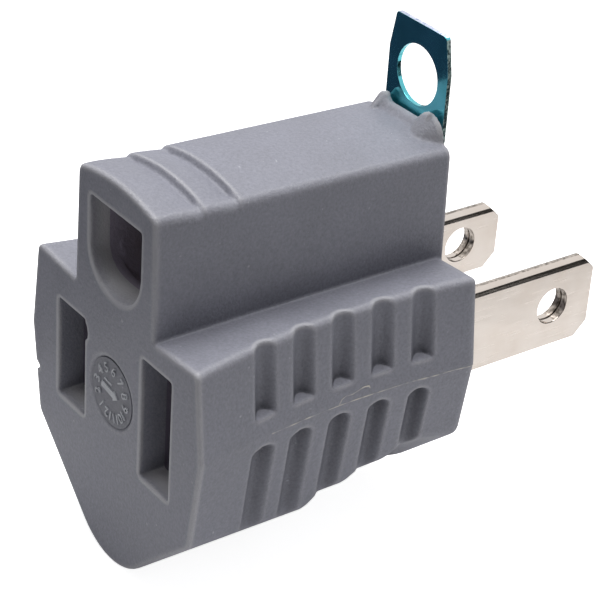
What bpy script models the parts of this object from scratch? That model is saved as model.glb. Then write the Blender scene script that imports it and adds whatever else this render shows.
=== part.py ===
"""Grounding plug adapter: a three-slot socket face, two folded blades and a ground tab.

The origin is the middle of the rear face, level with the blades and midway between them.
+Y runs out along the blades, -Y out of the socket face and +Z up to the ground socket.
+X is the neutral side, with the taller slot and the wider blade. All sizes are in metres.
"""

import math

import bmesh
import bpy
from mathutils import Matrix, Vector

# Clearance between pieces that seat on each other, and how far a cutter overshoots a face.
GAP = 0.0003
OVERCUT = 0.001

# Plug and socket pattern.
BLADE_SPACING = 0.0127
GROUND_RISE = 0.01207
BLADE_THICKNESS = 0.0015
BLADE_REACH = 0.0165
HOT_BLADE_HEIGHT = 0.00635
NEUTRAL_BLADE_HEIGHT = 0.00794
BLADE_HOLE_DIAMETER = 0.0035
BLADE_HOLE_TO_TIP = 0.0044
BLADE_TIP_CHAMFER = 0.0013
BLADE_SEAM_WIDTH = 0.0003
BLADE_SEAM_DEPTH = 0.0005

# Socket openings in the front face.
SLOT_WIDTH = 0.0042
HOT_SLOT_HEIGHT = 0.0091
NEUTRAL_SLOT_HEIGHT = 0.0109
SLOT_MOUTH_DEPTH = 0.0042
GROUND_SOCKET_WIDTH = 0.0075
GROUND_SOCKET_HEADROOM = 0.00398
FUNNEL_DEPTH = 0.0021
FUNNEL_RISE = 0.0010
FUNNEL_THROAT = 0.0005

# Spring fork that each blade's two layers open into, inside the body.
FORK_GRIP = 0.0013
FORK_BELLY = 0.0019
FORK_LIP = 0.0021
FORK_SETBACK = 0.0006
FORK_TO_WALL = 0.0018
FORK_SIDE_ROOM = 0.0006

# Body: half-widths are on the parting line, where the two mould halves meet.
BODY_DEPTH = 0.02815
REAR_WALL = 0.0032
WAIST_HALF_WIDTH = 0.01075
WAIST_TO_REAR = 0.0108
WAIST_RADIUS = 0.072
PARTING_HEIGHT = 0.0002
SHOULDER_HEIGHT = 0.00795
SHOULDER_SLOPE = 0.07
SHOULDER_RADIUS = 0.0006
UPPER_DRAFT = 0.119
LOWER_DRAFT = 0.142
KEEL_DEPTH = 0.01848
KEEL_SLOPE = 0.90
KEEL_RADIUS = 0.0062
KEEL_CORNER_RADIUS = 0.0013
KEEL_FIRST_LIFT = 0.0012
KEEL_SECOND_LIFT = 0.0009
KEEL_THIRD_LIFT = 0.0009
KEEL_LIFT_LENGTH = 0.0022
KEEL_LIFT_SHIFT = 0.0008
KEEL_REAR_FALL = 0.0010
FRONT_EDGE_RADIUS = 0.00035
REAR_EDGE_RADIUS = 0.0009

# Ground tower on top of the body.
TOWER_HALF_WIDTH = 0.0059
TOWER_DRAFT = 0.028
TOWER_HEIGHT = 0.01865
TOWER_FALL = 0.00075
TOWER_CROWN_RADIUS = 0.019
TOWER_CORNER_RADIUS = 0.0008
TOWER_REAR_RADIUS = 0.0003
TOWER_ROOT = 0.0035

# Thumb scallops across the front of the tower: a slope down to a steep rear wall.
SCALLOP_COUNT = 2
SCALLOP_PITCH = 0.00325
SCALLOP_TO_FRONT = 0.00415
SCALLOP_RISE = 0.00035
SCALLOP_DEPTH = 0.00055
SCALLOP_HALF_WIDTH = 0.0055
SCALLOP_FADE = 0.0014

# Two-horned wall that backs the ground tab; its front runs out into the tower's top.
HORN_WALL_DEPTH = 0.0016
HORN_WALL_HEIGHT = 0.0184
HORN_ROLL_SHARE = 0.3
HORN_SPREAD = 0.0032
HOT_HORN_RISE = 0.0006
NEUTRAL_HORN_RISE = 0.0013
HORN_HALF_SPAN = 0.0012
HORN_FOOT = 0.0046

# Finger grooves, an upper and a lower row on each side.
GROOVE_COUNT = 5
GROOVE_PITCH = 0.00395
GROOVE_TO_REAR = 0.0054
GROOVE_DEPTH = 0.00101
UPPER_GROOVE_SPAN = 0.0024
UPPER_FLOOR_DRAFT = 0.06
UPPER_GROOVE_LEDGE = 0.0020
LEDGE_SLOPE = 0.25
LOWER_GROOVE_SPAN = 0.0022
LOWER_FLOOR_DRAFT = 0.115
LOWER_GROOVE_FLARE = 0.0001
LOWER_GROOVE_TOP = 0.0009
LOWER_GROOVE_ROUND = 0.0007

# Ground sleeve, its tail, the tab and the rivet that joins them.
GROUND_PIN_DIAMETER = 0.0048
SLEEVE_SHEET = 0.0004
SLEEVE_GRIP = 0.0001
SLEEVE_FLARE = 0.0005
SLEEVE_SETBACK = 0.0006
SLEEVE_LENGTH = 0.0115
SLEEVE_SPLIT = math.radians(30.0)
TAIL_WIDTH = 0.0034
TAIL_LAP = 0.0012
TAB_SHEET = 0.0004
TAB_WIDTH = 0.0076
TAB_TOP_WIDTH = 0.0064
TAB_TAPER = 0.00315
TAB_TOP = 0.02595
TAB_FOOT_WIDTH = 0.0046
TAB_FOOT_LENGTH = 0.0080
TAB_BEND_RADIUS = 0.0006
TAB_CORNER_RADIUS = 0.0007
TAB_HOLE_DIAMETER = 0.0052
TAB_HOLE_TO_TOP = 0.00445
RIVET_DIAMETER = 0.0018
RIVET_HEAD_DIAMETER = 0.0031
RIVET_HEAD_THICKNESS = 0.0004
RIVET_TO_FOOT_END = 0.0023

# Sizes that follow from the ones above.
FRONT_Y = -BODY_DEPTH
MOUTH_Y = FRONT_Y + SLOT_MOUTH_DEPTH
INNER_Y = -REAR_WALL
SHEET = BLADE_THICKNESS / 2.0
SLEEVE_RADIUS = GROUND_PIN_DIAMETER / 2.0
SLEEVE_MOUTH_Y = MOUTH_Y + SLEEVE_SETBACK
SLEEVE_REAR_Y = SLEEVE_MOUTH_Y + SLEEVE_LENGTH
TAIL_Z = GROUND_RISE + SLEEVE_RADIUS + SLEEVE_SHEET / 4.0
FOOT_Z = TAIL_Z + SLEEVE_SHEET + GAP
TAB_Y = GAP
FOOT_END_Y = TAB_Y - TAB_FOOT_LENGTH
RIVET_Y = FOOT_END_Y + RIVET_TO_FOOT_END
RIVET_TOP = FOOT_Z + TAB_SHEET + GAP + RIVET_HEAD_THICKNESS
RIVET_BOTTOM = TAIL_Z - GAP - RIVET_HEAD_THICKNESS

ARC_STEPS = 5
KEEL_STEPS = 12
HOLE_STEPS = 28


def clear_scene():
    for item in list(bpy.data.objects):
        bpy.data.objects.remove(item, do_unlink=True)


def make_material(name, color, roughness, metallic):
    material = bpy.data.materials.new(name)
    material.use_nodes = True
    shader = material.node_tree.nodes["Principled BSDF"]
    shader.inputs["Base Color"].default_value = (*color, 1.0)
    shader.inputs["Roughness"].default_value = roughness
    shader.inputs["Metallic"].default_value = metallic
    return material


def smooth_step(t):
    t = min(max(t, 0.0), 1.0)
    return t * t * (3.0 - 2.0 * t)


def blend_knots(knots, t):
    """Ease through (position, value) knots, level at each of them."""
    for (t0, v0), (t1, v1) in zip(knots, knots[1:]):
        if t <= t1:
            return v0 + (v1 - v0) * smooth_step((t - t0) / (t1 - t0))
    return knots[-1][1]


def at_x(outline, x):
    return [(x, y, z) for y, z in outline]


def at_y(outline, y):
    return [(x, y, z) for x, z in outline]


def at_z(outline, z):
    return [(x, y, z) for x, y in outline]


def corner_arc(before, corner, after, radius, steps):
    """Points of the arc that rounds one corner of an outline."""
    if steps == 0:
        return [corner]
    back = (before - corner).normalized()
    ahead = (after - corner).normalized()
    opening = back.angle(ahead)
    start = corner + back * (radius / math.tan(opening / 2.0))
    centre = corner + (back + ahead).normalized() * (radius / math.sin(opening / 2.0))
    turn = math.copysign(math.pi - opening, ahead.cross(back))
    spoke = start - centre
    return [centre + Matrix.Rotation(turn * i / steps, 2) @ spoke for i in range(steps + 1)]


def rounded_outline(corners, radii, steps):
    """Closed outline through the corners, each rounded by its own radius."""
    points = [Vector(corner) for corner in corners]
    outline = []
    for i, point in enumerate(points):
        after = points[(i + 1) % len(points)]
        arc = corner_arc(points[i - 1], point, after, radii[i], steps[i])
        outline += [tuple(p) for p in arc]
    return outline


def inset_outline(corners, distance):
    """Move every side of a counter-clockwise outline inwards by the same distance."""
    points = [Vector(corner) for corner in corners]
    moved = []
    for i, point in enumerate(points):
        arrive = (point - points[i - 1]).normalized()
        leave = (points[(i + 1) % len(points)] - point).normalized()
        normal_in = Vector((-arrive.y, arrive.x))
        normal_out = Vector((-leave.y, leave.x))
        mitre = (normal_in + normal_out) / (1.0 + normal_in.dot(normal_out))
        moved.append(tuple(point + mitre * distance))
    return moved


def circle(cx, cy, radius, steps=HOLE_STEPS):
    turns = [2.0 * math.pi * i / steps for i in range(steps)]
    return [(cx + radius * math.cos(a), cy + radius * math.sin(a)) for a in turns]


def rectangle(x0, y0, x1, y1):
    return [(x0, y0), (x1, y0), (x1, y1), (x0, y1)]


def add_loft(bm, rings):
    """Skin a row of rings that have the same number of points, and cap both ends."""
    rows = [[bm.verts.new(point) for point in ring] for ring in rings]
    count = len(rows[0])
    for row, following in zip(rows, rows[1:]):
        for i in range(count):
            j = (i + 1) % count
            bm.faces.new((row[i], row[j], following[j], following[i]))
    bm.faces.new(rows[0][::-1])
    bm.faces.new(rows[-1])


def make_object(name, lofts, material=None):
    """One mesh object from closed lofts; without a material it is a cutter."""
    bm = bmesh.new()
    for rings in lofts:
        add_loft(bm, rings)
    bmesh.ops.recalc_face_normals(bm, faces=bm.faces)
    mesh = bpy.data.meshes.new(name)
    bm.to_mesh(mesh)
    bm.free()
    item = bpy.data.objects.new(name, mesh)
    bpy.context.collection.objects.link(item)
    if material is None:
        item.hide_render = True
        item.display_type = "WIRE"
    else:
        mesh.materials.append(material)
        mesh.shade_smooth()
        mesh.set_sharp_from_angle(angle=math.radians(35.0))
    return item


def apply_tool(target, operation, tool):
    tool.hide_render = True
    tool.display_type = "WIRE"
    tool.parent = target
    modifier = target.modifiers.new(tool.name, "BOOLEAN")
    modifier.operation = operation
    modifier.solver = "EXACT"
    modifier.object = tool


def edge_stations(radius, near_end):
    """(distance from the end face, inset) pairs along a rounded end edge."""
    turns = [math.pi / 2.0 * i / 4 for i in range(5)]
    stations = [(radius * (1.0 - math.cos(a)), radius * (1.0 - math.sin(a))) for a in turns]
    return stations if near_end else stations[::-1]


def body_stations(middle, rear_radius):
    """Depth and inset of each section, from the rounded front edge to the rounded rear."""
    front = [(FRONT_Y + d, inset) for d, inset in edge_stations(FRONT_EDGE_RADIUS, True)]
    rear = [(-d, inset) for d, inset in edge_stations(rear_radius, False)]
    inner = [(y, 0.0) for y in middle if front[-1][0] + GAP < y < rear[0][0] - GAP]
    return front + inner + rear


def half_width(y):
    """Half-width on the parting line: both sides are hollowed by one long arc."""
    return WAIST_HALF_WIDTH + (y + WAIST_TO_REAR) ** 2 / (2.0 * WAIST_RADIUS)


def groove_y(index):
    return -(GROOVE_TO_REAR + index * GROOVE_PITCH)


def keel_lifts():
    """Where the underside steps up towards the rear: one step behind each of three grooves."""
    return ((groove_y(2.5) + KEEL_LIFT_SHIFT, KEEL_FIRST_LIFT),
            (groove_y(1.5) + KEEL_LIFT_SHIFT, KEEL_SECOND_LIFT),
            (groove_y(0.5) + KEEL_LIFT_SHIFT, KEEL_THIRD_LIFT))


def keel_apex(y):
    """Height where the two slopes of the underside would meet."""
    rise = sum(lift * smooth_step((y - middle) / KEEL_LIFT_LENGTH + 0.5)
               for middle, lift in keel_lifts())
    last = keel_lifts()[-1][0] + KEEL_LIFT_LENGTH / 2.0
    fall = KEEL_REAR_FALL * smooth_step((y - last) / -last)
    return rise - fall - KEEL_DEPTH


def keel_corner(y):
    """Where the drafted side meets the slope of the underside."""
    apex = keel_apex(y)
    run_in = LOWER_DRAFT * (PARTING_HEIGHT - apex)
    x = (half_width(y) - run_in) / (1.0 - LOWER_DRAFT * KEEL_SLOPE)
    return x, apex + KEEL_SLOPE * x


def body_section(y, inset):
    """Section of the body across Y: V keel, drafted sides and sloping shoulders."""
    wide = half_width(y)
    keel_x, keel_z = keel_corner(y)
    top_x = wide - UPPER_DRAFT * (SHOULDER_HEIGHT - PARTING_HEIGHT)
    middle_z = SHOULDER_HEIGHT - SHOULDER_SLOPE * top_x
    corners = [
        (0.0, keel_apex(y)),
        (keel_x, keel_z),
        (wide, PARTING_HEIGHT),
        (top_x, SHOULDER_HEIGHT),
        (0.0, middle_z),
        (-top_x, SHOULDER_HEIGHT),
        (-wide, PARTING_HEIGHT),
        (-keel_x, keel_z),
    ]
    corner = max(KEEL_CORNER_RADIUS - inset, GAP)
    shoulder = max(SHOULDER_RADIUS - inset, GAP / 3.0)
    radii = [KEEL_RADIUS - inset, corner, 0.0, shoulder, 0.0, shoulder, 0.0, corner]
    steps = [KEEL_STEPS, ARC_STEPS, 0, ARC_STEPS, 0, ARC_STEPS, 0, ARC_STEPS]
    return rounded_outline(inset_outline(corners, inset), radii, steps)


def crown_height(x, y):
    fall = TOWER_FALL * (y - FRONT_Y) / BODY_DEPTH
    return TOWER_HEIGHT - fall - x * x / (2.0 * TOWER_CROWN_RADIUS)


def scallop_walls():
    return [FRONT_Y + SCALLOP_TO_FRONT + i * SCALLOP_PITCH for i in range(SCALLOP_COUNT)]


def scallop_dip(x, y):
    """How far the thumb scallops lower the crown at a point."""
    slope = SCALLOP_PITCH - SCALLOP_RISE
    fade = smooth_step((SCALLOP_HALF_WIDTH - abs(x)) / SCALLOP_FADE)
    for wall in scallop_walls():
        if wall - slope < y <= wall:
            return SCALLOP_DEPTH * fade * ((y - wall + slope) / slope) ** 1.4
    return 0.0


def tower_section(y, inset):
    """Section of the tower across Y: drafted sides under a crowned, scalloped top."""
    rise = TOWER_HEIGHT - SHOULDER_HEIGHT
    foot_x = TOWER_HALF_WIDTH + TOWER_DRAFT * (SHOULDER_HEIGHT - TOWER_ROOT) - inset
    side_x = TOWER_HALF_WIDTH - TOWER_DRAFT * rise - inset
    edge_x = side_x - TOWER_CORNER_RADIUS
    edge_z = crown_height(edge_x, y) - scallop_dip(edge_x, y) - inset - TOWER_CORNER_RADIUS
    lean = math.asin(edge_x / TOWER_CROWN_RADIUS)
    right = [(foot_x, TOWER_ROOT)]
    for i in range(ARC_STEPS):
        a = (math.pi / 2.0 - lean) * i / ARC_STEPS
        x = edge_x + TOWER_CORNER_RADIUS * math.cos(a)
        right.append((x, edge_z + TOWER_CORNER_RADIUS * math.sin(a)))
    crown = []
    for i in range(15):
        x = edge_x * (1.0 - i / 7.0)
        crown.append((x, crown_height(x, y) - inset - scallop_dip(x, y)))
    left = [(-x, z) for x, z in reversed(right)]
    return right + crown + left


def horn_section(y, share):
    """Outline across the tower's top, raised to a share of the wall's full height."""
    outline = [(HORN_FOOT, crown_height(HORN_FOOT, y) - OVERCUT)]
    for i in range(49):
        x = HORN_FOOT * (1.0 - i / 24.0)
        base = crown_height(x, y) - GAP / 3.0
        rise = NEUTRAL_HORN_RISE if x > 0.0 else HOT_HORN_RISE
        horn = rise * (1.0 - smooth_step(abs(abs(x) - HORN_SPREAD) / HORN_HALF_SPAN))
        edge = smooth_step((abs(x) - HORN_SPREAD) / (HORN_FOOT - HORN_SPREAD))
        top = HORN_WALL_HEIGHT + horn
        top += (base - top) * edge
        outline.append((x, base + (top - base) * share))
    outline.append((-HORN_FOOT, outline[0][1]))
    return at_y(outline, y)


def horn_wall():
    """Low wall across the rear of the tower's top, with a rounded horn at each side."""
    sections = []
    for i in range(13):
        t = i / 12.0
        roll = max((t - 0.7) / 0.3, 0.0)
        share = smooth_step(t / 0.7) - HORN_ROLL_SHARE * roll ** 2
        sections.append(horn_section(HORN_WALL_DEPTH * (t - 1.0), share))
    return sections


def groove_ring(centre_y, side, span, scale, height):
    """One level of a groove cutter: a rounded trough whose floor is steeper than the side."""
    tangent = (centre_y + WAIST_TO_REAR) / WAIST_RADIUS
    along = Vector((tangent, 1.0)).normalized()
    outward = Vector((along.y, -along.x))
    upper = height > PARTING_HEIGHT
    draft = UPPER_DRAFT if upper else LOWER_DRAFT
    floor_draft = UPPER_FLOOR_DRAFT if upper else LOWER_FLOOR_DRAFT
    rise = abs(height - PARTING_HEIGHT)
    lean = draft * rise
    depth = GROOVE_DEPTH - (draft - floor_draft) * rise
    origin = Vector((half_width(centre_y) - lean, centre_y))
    ring = []
    for i in range(13):
        u = (i / 12.0 - 0.5) * span * scale
        trough = math.cos(math.pi * (i / 12.0 - 0.5)) ** 1.25
        inward = depth * scale * trough - GAP / 10.0
        ring.append(origin + along * u - outward * inward)
    ring.append(ring[-1] + outward * OVERCUT)
    ring.append(ring[0] + outward * OVERCUT)
    return [(side * x, y, height) for x, y in ring]


def tilt_ledge(ring):
    """Slope the foot of an upper groove down towards the outside."""
    inner = min(abs(x) for x, y, z in ring)
    return [(x, y, z - LEDGE_SLOPE * (abs(x) - inner)) for x, y, z in ring]


def groove_lofts():
    lofts = []
    for side in (1, -1):
        for i in range(GROOVE_COUNT):
            y = groove_y(i)
            span = UPPER_GROOVE_SPAN
            ledge = tilt_ledge(groove_ring(y, side, span, 1.0, UPPER_GROOVE_LEDGE))
            top = groove_ring(y, side, span, 1.0, SHOULDER_HEIGHT + OVERCUT)
            lofts.append([ledge, top])
            span = LOWER_GROOVE_SPAN + i * LOWER_GROOVE_FLARE
            rings = [groove_ring(y, side, span, 1.0, keel_corner(y)[1] - OVERCUT)]
            for k in range(5):
                a = math.radians(18.0 * k)
                z = -LOWER_GROOVE_TOP - LOWER_GROOVE_ROUND * (1.0 - math.sin(a))
                rings.append(groove_ring(y, side, span, math.cos(a), z))
            lofts.append(rings)
    return lofts


def slot_outline(centre_x, height):
    half = SLOT_WIDTH / 2.0
    return rectangle(centre_x - half, -height / 2.0, centre_x + half, height / 2.0)


def ground_socket_outline(lift):
    """U shape: a round bottom, raised and flattened by a lift, under a flat top."""
    half = GROUND_SOCKET_WIDTH / 2.0
    deep = half - lift
    power = 2.0 / (2.0 + lift / FUNNEL_RISE)
    outline = []
    for i in range(17):
        across = -math.cos(math.pi * i / 16.0)
        down = math.sin(math.pi * i / 16.0)
        outline.append((half * math.copysign(abs(across) ** power, across),
                        GROUND_RISE - deep * abs(down) ** power))
    top = GROUND_RISE + GROUND_SOCKET_HEADROOM
    return outline + [(half, top), (-half, top)]


def passage(outline, start_y, end_y):
    return [at_y(outline, start_y), at_y(outline, end_y)]


def ground_socket():
    """The funnel that leads the ground pin in, its throat and the room behind the front wall."""
    throat_y = FRONT_Y + FUNNEL_DEPTH
    room_y = throat_y + FUNNEL_THROAT
    wide = ground_socket_outline(0.0)
    narrow = ground_socket_outline(FUNNEL_RISE)
    return [at_y(wide, FRONT_Y - OVERCUT), at_y(wide, FRONT_Y), at_y(narrow, throat_y),
            at_y(narrow, room_y), at_y(wide, room_y + GAP), at_y(wide, INNER_Y)]


def fork_half_height(blade_height):
    """The fold is cut away inside the body, so the layers can spring apart."""
    return blade_height / 2.0 - SHEET


def make_body(material):
    grid = [FRONT_Y + BODY_DEPTH * i / 16.0 for i in range(17)]
    for middle, lift in keel_lifts():
        reach = KEEL_LIFT_LENGTH / 2.0
        grid = [y for y in grid if abs(y - middle) > reach + 3.0 * GAP]
        grid += [middle + reach * part for part in (-1.0, -0.5, 0.0, 0.5, 1.0)]
    grid.sort()
    sections = [at_y(body_section(y, inset), y)
                for y, inset in body_stations(grid, REAR_EDGE_RADIUS)]
    body = make_object("body", [sections], material)

    slope = SCALLOP_PITCH - SCALLOP_RISE
    grid = [INNER_Y]
    for wall in scallop_walls():
        grid += [wall - slope * part for part in (1.0, 0.7, 0.4, 0.15, 0.0)]
        grid.append(wall + SCALLOP_RISE * 0.99)
    sections = [at_y(tower_section(y, inset), y)
                for y, inset in body_stations(sorted(grid), TOWER_REAR_RADIUS)]
    apply_tool(body, "UNION", make_object("tower_form", [sections]))
    apply_tool(body, "UNION", make_object("horn_wall_form", [horn_wall()]))

    sides = ((-BLADE_SPACING / 2.0, HOT_BLADE_HEIGHT, HOT_SLOT_HEIGHT),
             (BLADE_SPACING / 2.0, NEUTRAL_BLADE_HEIGHT, NEUTRAL_SLOT_HEIGHT))
    mouths = []
    channels = []
    blade_holes = []
    for x, blade_height, slot_height in sides:
        mouths.append(passage(slot_outline(x, slot_height), FRONT_Y - OVERCUT, MOUTH_Y))
        room = 2.0 * (fork_half_height(blade_height) + FORK_SIDE_ROOM)
        channels.append(passage(slot_outline(x, room), MOUTH_Y - GAP, INNER_Y))
        half_x = BLADE_THICKNESS / 2.0 + GAP
        half_z = blade_height / 2.0 + GAP
        hole = rectangle(x - half_x, -half_z, x + half_x, half_z)
        blade_holes.append(passage(hole, INNER_Y - FORK_TO_WALL - GAP, OVERCUT))
    apply_tool(body, "DIFFERENCE", make_object("slot_mouths", mouths))
    apply_tool(body, "DIFFERENCE", make_object("fork_channels", channels))
    apply_tool(body, "DIFFERENCE", make_object("blade_holes", blade_holes))

    apply_tool(body, "DIFFERENCE", make_object("ground_socket", [ground_socket()]))
    half = RIVET_HEAD_DIAMETER / 2.0 + GAP
    lid = GROUND_RISE + GROUND_SOCKET_HEADROOM - OVERCUT
    rivet_room = [at_z(rectangle(-half, RIVET_Y - half, half, RIVET_Y + half), z)
                  for z in (lid, RIVET_TOP + GAP)]
    apply_tool(body, "DIFFERENCE", make_object("rivet_room", [rivet_room]))
    half = TAB_FOOT_WIDTH / 2.0 + GAP
    mouth = rectangle(-half, FOOT_Z - GAP, half, FOOT_Z + TAB_SHEET + GAP)
    tab_mouth = passage(mouth, INNER_Y - OVERCUT, OVERCUT)
    apply_tool(body, "DIFFERENCE", make_object("tab_mouth", [tab_mouth]))
    apply_tool(body, "DIFFERENCE", make_object("finger_grooves", groove_lofts()))
    return body


def fork_outline(centre_x):
    """Plan of the spring fork: from the blade the two layers belly out, pinch and flare."""
    root_y = INNER_Y - FORK_TO_WALL
    lip_y = MOUTH_Y + FORK_SETBACK
    knots = [
        (0.0, 0.0),
        (0.35, FORK_BELLY / 2.0),
        (0.80, FORK_GRIP / 2.0),
        (1.0, FORK_LIP / 2.0),
    ]
    stations = [0.0] + [i / 18.0 for i in range(4, 19)]
    outer = [(SHEET, root_y + SHEET)]
    inner = []
    for t in stations:
        y = root_y + (lip_y - root_y) * t
        opening = blend_knots(knots, t)
        outer.append((opening + SHEET, y))
        inner.append((opening, y))
    half = outer + inner[:0:-1]
    mirrored = [(-x, y) for x, y in reversed(half)]
    outline = half + [(0.0, root_y)] + mirrored
    return [(centre_x + x, y) for x, y in outline]


def make_terminal(name, side, blade_height, material):
    """Strip folded into a blade, whose two layers spring apart inside as a fork."""
    x = side * BLADE_SPACING / 2.0
    half = blade_height / 2.0
    chamfer = BLADE_TIP_CHAMFER
    profile = [
        (INNER_Y - FORK_TO_WALL, -half),
        (BLADE_REACH - chamfer, -half),
        (BLADE_REACH, -half + chamfer),
        (BLADE_REACH, half - chamfer),
        (BLADE_REACH - chamfer, half),
        (INNER_Y - FORK_TO_WALL, half),
    ]
    left = x - BLADE_THICKNESS / 2.0
    right = x + BLADE_THICKNESS / 2.0
    terminal = make_object(name, [[at_x(profile, left), at_x(profile, right)]], material)

    bm = bmesh.new()
    bm.from_mesh(terminal.data)
    fold = [edge for edge in bm.edges if all(vert.co.z > half - GAP / 2.0 for vert in edge.verts)]
    fold = [edge for edge in fold if abs(edge.verts[0].co.y - edge.verts[1].co.y) > chamfer]
    bmesh.ops.bevel(bm, geom=fold, offset=SHEET * 0.98, segments=5, profile=0.5,
                    affect="EDGES", clamp_overlap=True)
    bm.to_mesh(terminal.data)
    bm.free()

    leaf = fork_half_height(blade_height)
    outline = fork_outline(x)
    fork = make_object(name + "_fork", [[at_z(outline, -leaf), at_z(outline, leaf)]])
    apply_tool(terminal, "UNION", fork)
    hole = circle(BLADE_REACH - BLADE_HOLE_TO_TIP, 0.0, BLADE_HOLE_DIAMETER / 2.0)
    drill = [at_x(hole, left - OVERCUT), at_x(hole, right + OVERCUT)]
    apply_tool(terminal, "DIFFERENCE", make_object(name + "_drill", [drill]))
    notch = [(x - BLADE_SEAM_WIDTH, -half - BLADE_SEAM_DEPTH), (x, -half + BLADE_SEAM_DEPTH),
             (x + BLADE_SEAM_WIDTH, -half - BLADE_SEAM_DEPTH)]
    seam = passage(notch, INNER_Y, BLADE_REACH + OVERCUT)
    apply_tool(terminal, "DIFFERENCE", make_object(name + "_seam", [seam]))
    return terminal


def sleeve_section(y):
    """Split ring round the ground pin; its mouth flares and its middle grips."""
    t = (y - SLEEVE_MOUTH_Y) / SLEEVE_LENGTH
    knots = [(0.0, SLEEVE_FLARE), (0.15, 0.0), (0.45, -SLEEVE_GRIP), (1.0, 0.0)]
    inner = SLEEVE_RADIUS + blend_knots(knots, t)
    outer = inner + SLEEVE_SHEET
    start = -math.pi / 2.0 + SLEEVE_SPLIT
    sweep = 2.0 * (math.pi - SLEEVE_SPLIT)
    turns = [start + sweep * i / 24.0 for i in range(25)]
    ring = [(outer * math.cos(a), GROUND_RISE + outer * math.sin(a)) for a in turns]
    ring += [(inner * math.cos(a), GROUND_RISE + inner * math.sin(a)) for a in reversed(turns)]
    return at_y(ring, y)


def make_ground_contact(material):
    stations = (0.0, 0.05, 0.1, 0.15, 0.3, 0.45, 0.7, 1.0)
    rings = [sleeve_section(SLEEVE_MOUTH_Y + SLEEVE_LENGTH * t) for t in stations]
    contact = make_object("ground_contact", [rings], material)
    half = TAIL_WIDTH / 2.0
    tail_end = INNER_Y - GAP
    strip = rectangle(-half, SLEEVE_REAR_Y - TAIL_LAP, half, tail_end)
    tail = [at_z(strip, TAIL_Z), at_z(strip, TAIL_Z + SLEEVE_SHEET)]
    apply_tool(contact, "UNION", make_object("ground_tail", [tail]))
    hole = circle(0.0, RIVET_Y, RIVET_DIAMETER / 2.0 + GAP)
    drill = [at_z(hole, TAIL_Z - OVERCUT), at_z(hole, TAIL_Z + OVERCUT)]
    apply_tool(contact, "DIFFERENCE", make_object("ground_tail_hole", [drill]))
    return contact


def make_ground_tab(material):
    """L-shaped strip: its foot lies in the body and its upright stands behind the tower."""
    foot_top = FOOT_Z + TAB_SHEET
    bend_y = TAB_Y - TAB_BEND_RADIUS
    bend_z = foot_top + TAB_BEND_RADIUS
    outer = TAB_BEND_RADIUS + TAB_SHEET
    turns = [-math.pi / 2.0 + math.pi / 2.0 * i / 6.0 for i in range(7)]
    profile = [(FOOT_END_Y, foot_top), (FOOT_END_Y, FOOT_Z)]
    profile += [(bend_y + outer * math.cos(a), bend_z + outer * math.sin(a)) for a in turns]
    profile.append((TAB_Y + TAB_SHEET, bend_z + TAB_CORNER_RADIUS))
    profile.append((TAB_Y, bend_z + TAB_CORNER_RADIUS))
    profile += [(bend_y + TAB_BEND_RADIUS * math.cos(a), bend_z + TAB_BEND_RADIUS * math.sin(a))
                for a in reversed(turns)]
    half = TAB_FOOT_WIDTH / 2.0
    tab = make_object("ground_tab", [[at_x(profile, -half), at_x(profile, half)]], material)

    wide = TAB_WIDTH / 2.0
    narrow = TAB_TOP_WIDTH / 2.0
    corners = [(-wide, bend_z), (wide, bend_z), (wide, TAB_TOP - TAB_TAPER), (narrow, TAB_TOP),
               (-narrow, TAB_TOP), (-wide, TAB_TOP - TAB_TAPER)]
    low = TAB_CORNER_RADIUS
    radii = [low, low, 0.0, GAP, GAP, 0.0]
    upright = rounded_outline(corners, radii, [3, 3, 0, 2, 2, 0])
    plate = [at_y(upright, TAB_Y), at_y(upright, TAB_Y + TAB_SHEET)]
    apply_tool(tab, "UNION", make_object("ground_tab_upright", [plate]))
    hole = circle(0.0, TAB_TOP - TAB_HOLE_TO_TOP, TAB_HOLE_DIAMETER / 2.0, 36)
    drill = [at_y(hole, TAB_Y - OVERCUT), at_y(hole, TAB_Y + TAB_SHEET + OVERCUT)]
    apply_tool(tab, "DIFFERENCE", make_object("ground_tab_hole", [drill]))
    hole = circle(0.0, RIVET_Y, RIVET_DIAMETER / 2.0 + GAP)
    drill = [at_z(hole, FOOT_Z - OVERCUT), at_z(hole, foot_top + OVERCUT)]
    apply_tool(tab, "DIFFERENCE", make_object("ground_tab_rivet_hole", [drill]))
    return tab


def make_ground_rivet(material):
    """Shank with a head at each end, clamping the tab's foot on the sleeve's tail."""
    shank = RIVET_DIAMETER / 2.0
    head = RIVET_HEAD_DIAMETER / 2.0
    edge = RIVET_HEAD_THICKNESS / 2.0
    low = RIVET_BOTTOM + RIVET_HEAD_THICKNESS
    high = RIVET_TOP - RIVET_HEAD_THICKNESS
    turned = [(head - edge, RIVET_BOTTOM), (head, RIVET_BOTTOM + edge), (head, low), (shank, low),
              (shank, high), (head, high), (head, RIVET_TOP - edge), (head - edge, RIVET_TOP)]
    rings = [at_z(circle(0.0, RIVET_Y, radius, 20), z) for radius, z in turned]
    return make_object("ground_rivet", [rings], material)


def main():
    clear_scene()
    plastic = make_material("grey_plastic", (0.165, 0.168, 0.190), 0.62, 0.0)
    nickel = make_material("nickel_plate", (0.62, 0.58, 0.54), 0.28, 1.0)
    bronze = make_material("spring_bronze", (0.55, 0.36, 0.16), 0.35, 1.0)
    zinc = make_material("blue_zinc", (0.03, 0.20, 0.26), 0.22, 1.0)
    steel = make_material("rivet_steel", (0.45, 0.45, 0.46), 0.35, 1.0)

    make_body(plastic)
    make_terminal("hot_terminal", -1, HOT_BLADE_HEIGHT, nickel)
    make_terminal("neutral_terminal", 1, NEUTRAL_BLADE_HEIGHT, nickel)
    make_ground_contact(bronze)
    make_ground_tab(zinc)
    make_ground_rivet(steel)


main()
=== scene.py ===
"""Detailed grounding plug adapter, dressed over its CAD frame and set in a plain studio."""

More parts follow.
